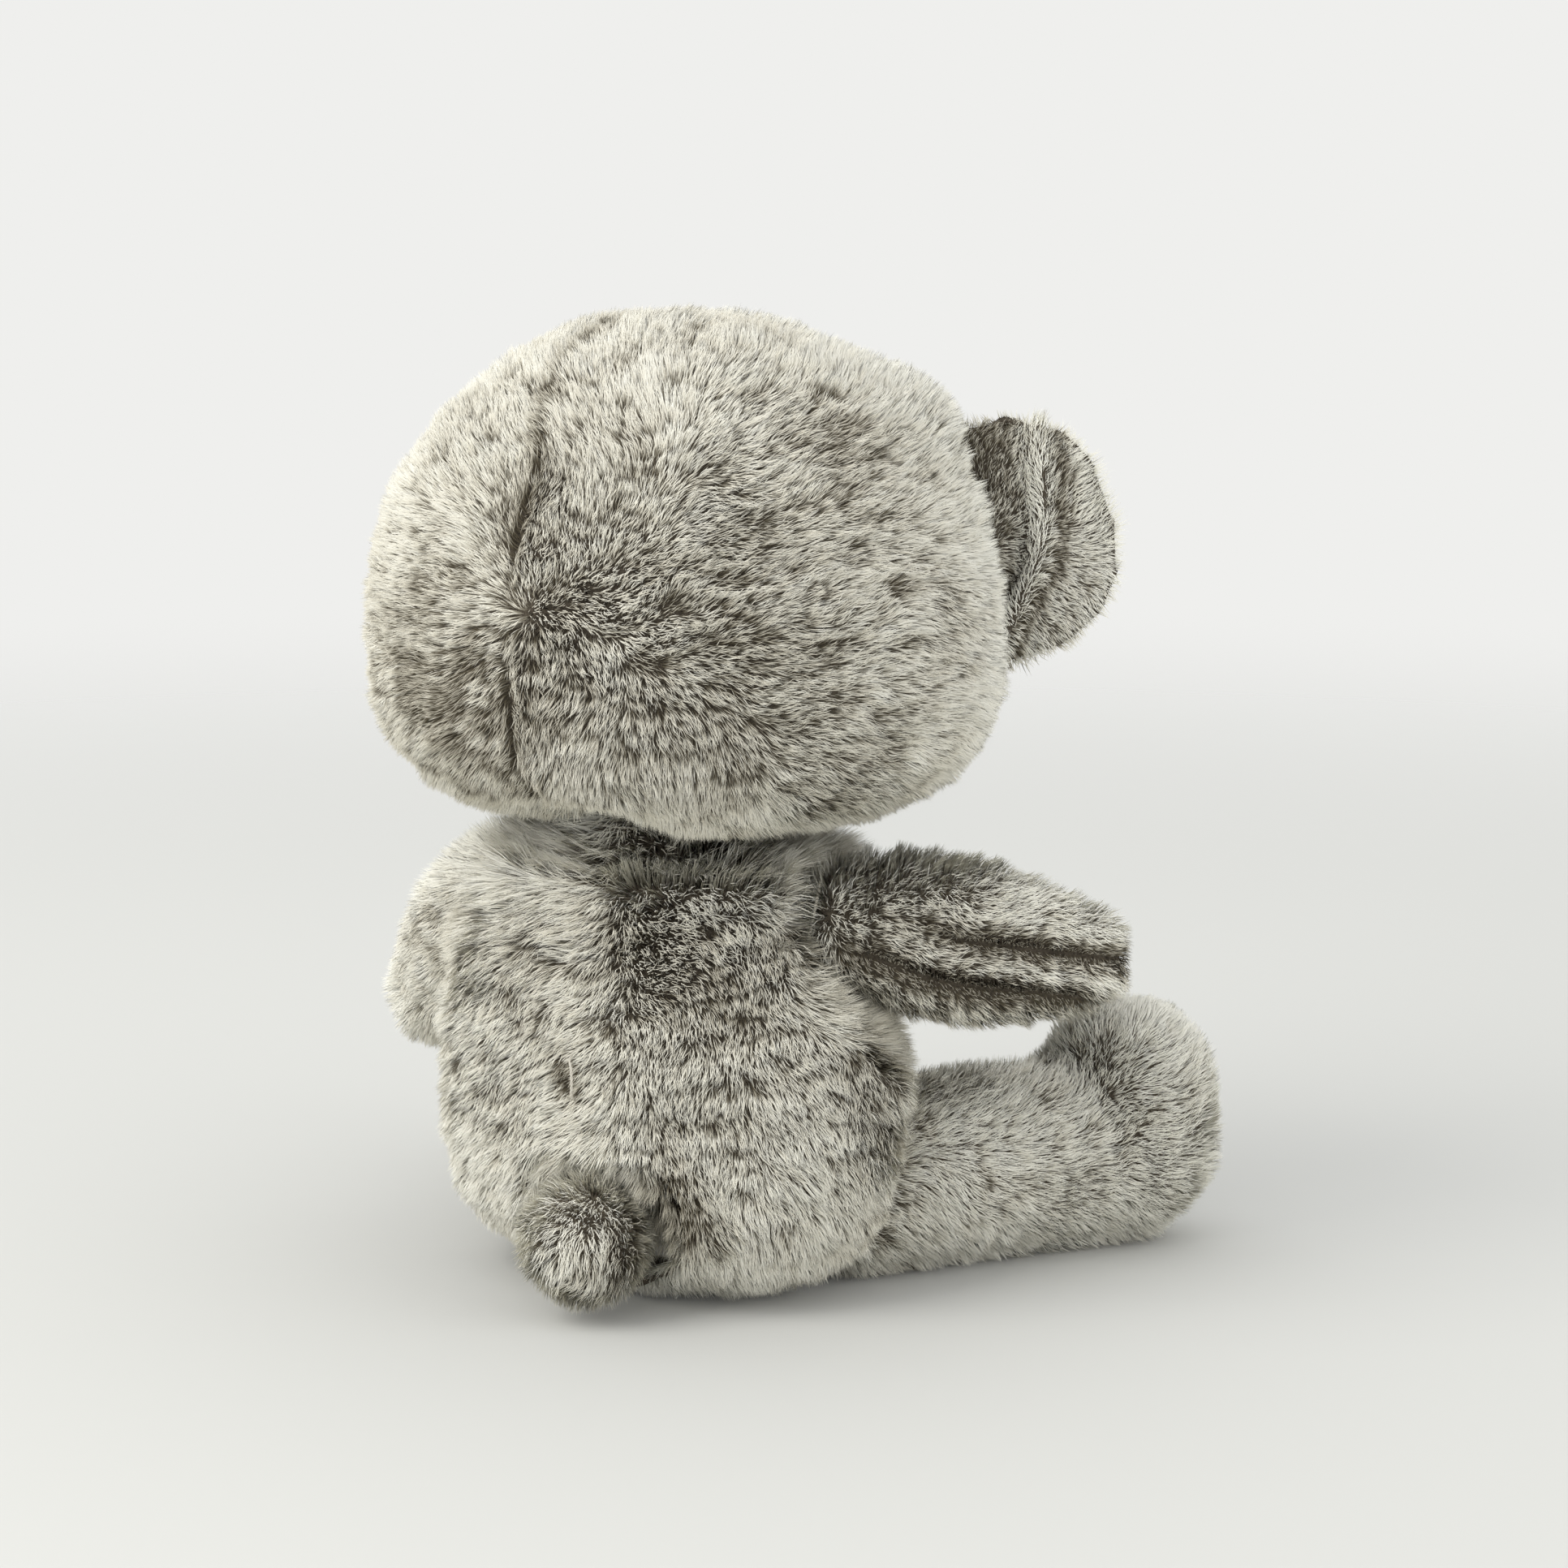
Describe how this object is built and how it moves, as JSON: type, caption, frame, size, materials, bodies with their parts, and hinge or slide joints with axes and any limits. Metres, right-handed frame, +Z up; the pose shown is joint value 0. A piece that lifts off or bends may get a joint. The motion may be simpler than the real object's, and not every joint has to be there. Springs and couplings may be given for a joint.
{
  "type": "teddy bear",
  "caption": "Seated plush teddy bear with a big round head, cupped ears, stuffed limbs sewn at seams, safety eyes and a small round tail.",
  "frame": {"origin": "middle of the flat seat under the torso, on the ground", "axes": "+Z up, the bear looks along -Y, its own left is +X"},
  "size_m": [0.2978, 0.265, 0.338],
  "materials": {
    "plush": "long frosted pile, matt",
    "pale_plush": "shorter pale pile, matt",
    "filling": "loose polyester fibre, matt",
    "thread": "twisted sewing thread",
    "black_thread": "thick embroidery thread",
    "pouch_cloth": "plain woven cotton",
    "eye_plastic": "polished",
    "washer_plastic": "moulded"
  },
  "bodies": {
    "torso": {"torso_cover": "plush", "torso_stuffing": "filling", "pellet_pouch": "pouch_cloth", "back_closing_stitch": "thread"},
    "neck_seam": {"neck_seam_thread": "thread"},
    "head": {"head_cover": "plush", "face_panel": "pale_plush", "muzzle_panel": "pale_plush", "head_stuffing": "filling", "eye_left": "eye_plastic", "eye_right": "eye_plastic", "eye_washer_left": "washer_plastic", "eye_washer_right": "washer_plastic", "nose": "eye_plastic", "nose_washer": "washer_plastic", "mouth_stitch": "black_thread"},
    "tail": {"tail_cover": "plush", "tail_stuffing": "filling"},
    "ear_left": {"ear_front_left": "pale_plush", "ear_back_left": "plush"},
    "shoulder_seam_left": {"shoulder_seam_thread_left": "thread"},
    "arm_left": {"arm_cover_left": "plush", "arm_stuffing_left": "filling"},
    "hip_seam_left": {"hip_seam_thread_left": "thread"},
    "leg_left": {"leg_cover_left": "plush", "foot_sole_left": "plush", "leg_stuffing_left": "filling"},
    "ear_right": {"ear_front_right": "pale_plush", "ear_back_right": "plush"},
    "shoulder_seam_right": {"shoulder_seam_thread_right": "thread"},
    "arm_right": {"arm_cover_right": "plush", "arm_stuffing_right": "filling"},
    "hip_seam_right": {"hip_seam_thread_right": "thread"},
    "leg_right": {"leg_cover_right": "plush", "foot_sole_right": "plush", "leg_stuffing_right": "filling"}
  },
  "joints": [
    {"name": "neck_turn", "type": "hinge", "parent": "torso", "child": "neck_seam", "pos_m": [0, 0, 0.16], "axis": [0, 0, 1], "range_deg": [-40, 40], "stiffness_Nm_per_rad": 3},
    {"name": "neck_nod", "type": "hinge", "parent": "neck_seam", "child": "head", "pos_m": [0, 0, 0.16], "axis": [1, 0, 0], "range_deg": [-6, 8], "stiffness_Nm_per_rad": 6},
    {"name": "ear_fold_left", "type": "hinge", "parent": "head", "child": "ear_left", "pos_m": [0.08457, -0.05781, 0.255], "axis": [0.1928, -0.1159, -0.9744], "range_deg": [-15, 20], "stiffness_Nm_per_rad": 0.15},
    {"name": "shoulder_swing_left", "type": "hinge", "parent": "torso", "child": "shoulder_seam_left", "pos_m": [0.06858, -0.00495, 0.131], "axis": [0, 0, 1], "range_deg": [-10, 18], "stiffness_Nm_per_rad": 0.6},
    {"name": "shoulder_raise_left", "type": "hinge", "parent": "shoulder_seam_left", "child": "arm_left", "pos_m": [0.06858, -0.00495, 0.131], "axis": [-0.3746, -0.9272, 0], "range_deg": [-8, 40], "stiffness_Nm_per_rad": 0.8},
    {"name": "hip_swing_left", "type": "hinge", "parent": "torso", "child": "hip_seam_left", "pos_m": [0.04816, -0.0306, 0.0335], "axis": [0, 0, 1], "range_deg": [-8, 15], "stiffness_Nm_per_rad": 0.9},
    {"name": "hip_raise_left", "type": "hinge", "parent": "hip_seam_left", "child": "leg_left", "pos_m": [0.04816, -0.0306, 0.0335], "axis": [-0.848, -0.5299, 0], "range_deg": [0, 25], "stiffness_Nm_per_rad": 0.9},
    {"name": "ear_fold_right", "type": "hinge", "parent": "head", "child": "ear_right", "pos_m": [-0.08457, -0.05781, 0.255], "axis": [0.1928, 0.1159, 0.9744], "range_deg": [-15, 20], "stiffness_Nm_per_rad": 0.15},
    {"name": "shoulder_swing_right", "type": "hinge", "parent": "torso", "child": "shoulder_seam_right", "pos_m": [-0.06858, -0.00495, 0.131], "axis": [0, 0, -1], "range_deg": [-10, 18], "stiffness_Nm_per_rad": 0.6},
    {"name": "shoulder_raise_right", "type": "hinge", "parent": "shoulder_seam_right", "child": "arm_right", "pos_m": [-0.06858, -0.00495, 0.131], "axis": [-0.5446, 0.8387, 0], "range_deg": [-20, 15], "stiffness_Nm_per_rad": 0.8},
    {"name": "hip_swing_right", "type": "hinge", "parent": "torso", "child": "hip_seam_right", "pos_m": [-0.04816, -0.0306, 0.0335], "axis": [0, 0, -1], "range_deg": [-8, 15], "stiffness_Nm_per_rad": 0.9},
    {"name": "hip_raise_right", "type": "hinge", "parent": "hip_seam_right", "child": "leg_right", "pos_m": [-0.04816, -0.0306, 0.0335], "axis": [-0.848, 0.5299, 0], "range_deg": [0, 25], "stiffness_Nm_per_rad": 0.9},
    {"name": "tail_wag", "type": "hinge", "parent": "torso", "child": "tail", "pos_m": [-0.00464, 0.04448, 0.028], "axis": [0, 0, 1], "range_deg": [-12, 12], "stiffness_Nm_per_rad": 0.15}
  ]
}
